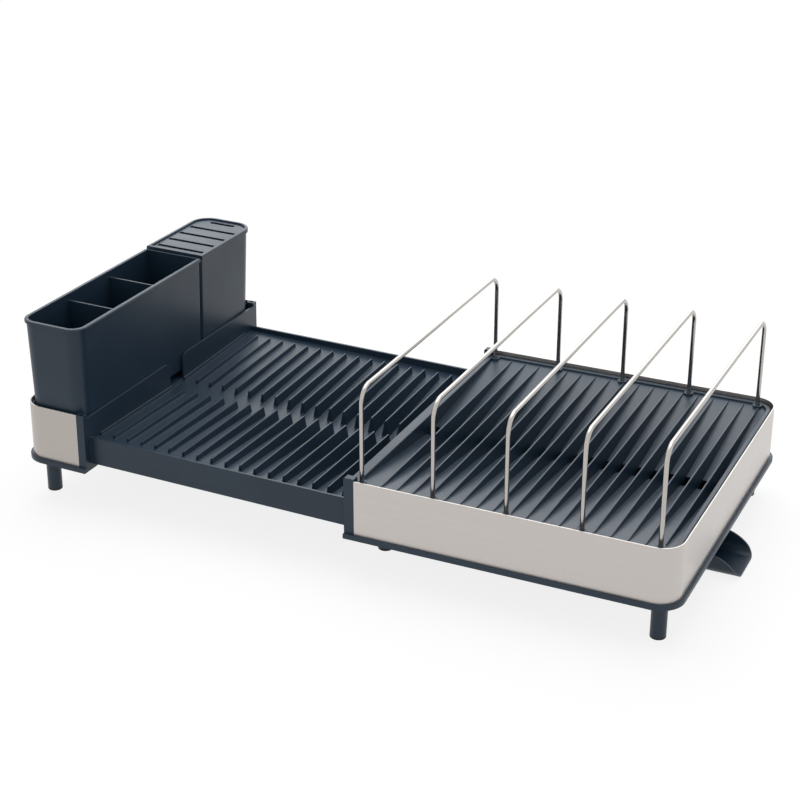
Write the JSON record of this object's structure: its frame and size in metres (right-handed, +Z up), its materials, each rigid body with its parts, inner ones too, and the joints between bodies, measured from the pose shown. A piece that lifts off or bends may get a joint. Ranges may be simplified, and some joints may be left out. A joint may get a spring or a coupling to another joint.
{
  "type": "expandable dish rack",
  "caption": "Steel-banded draining rack whose ribbed tray slides out to one side, with lift-out plate insert, wire dividers, cutlery caddy, knife block and swivel spout.",
  "frame": {"origin": "bottom centre of the bounding box of the extended rack, on the worktop", "axes": "+X along the rack from the cutlery bay to the spout, +Y from the front to the back, +Z up"},
  "size_m": [0.6424, 0.3196, 0.1828],
  "materials": {
    "grey_plastic": "fine moulded texture, satin",
    "brushed_band": "long horizontal brushing",
    "wire_steel": "smooth satin wire",
    "pad_rubber": "matt"
  },
  "bodies": {
    "base": {"base_tray": "grey_plastic", "base_band": "brushed_band", "drain_collar": "grey_plastic", "foot_front_right": "grey_plastic", "foot_back_right": "grey_plastic", "foot_front_middle": "grey_plastic", "foot_back_middle": "grey_plastic", "pad_front_right": "pad_rubber", "pad_back_right": "pad_rubber", "pad_front_middle": "pad_rubber", "pad_back_middle": "pad_rubber"},
    "spout": {"drain_spout": "grey_plastic"},
    "insert": {"rack_insert": "grey_plastic", "divider_wire_1": "wire_steel", "divider_wire_2": "wire_steel", "divider_wire_3": "wire_steel", "divider_wire_4": "wire_steel", "divider_wire_5": "wire_steel"},
    "extension": {"extension_tray": "grey_plastic", "extension_band": "brushed_band", "foot_front_left": "grey_plastic", "foot_back_left": "grey_plastic", "pad_front_left": "pad_rubber", "pad_back_left": "pad_rubber"},
    "caddy": {"cutlery_caddy": "grey_plastic"},
    "knives": {"knife_block": "grey_plastic", "knife_block_top": "grey_plastic"}
  },
  "joints": [
    {"name": "extension_slide", "type": "slide", "parent": "base", "child": "extension", "axis": [1, 0, 0], "range_m": [0, 0.2605]},
    {"name": "insert_lift", "type": "slide", "parent": "base", "child": "insert", "axis": [0, 0, 1], "range_m": [0, 0.06]},
    {"name": "caddy_lift", "type": "slide", "parent": "extension", "child": "caddy", "axis": [0.0164, 0, 0.9999], "range_m": [0, 0.06]},
    {"name": "knife_block_lift", "type": "slide", "parent": "extension", "child": "knives", "axis": [0.0164, 0, 0.9999], "range_m": [0, 0.06]},
    {"name": "spout_swivel", "type": "hinge", "parent": "base", "child": "spout", "pos_m": [0.27065, 0, 0.02], "axis": [0, 0, 1], "range_deg": [-90, 90]}
  ]
}
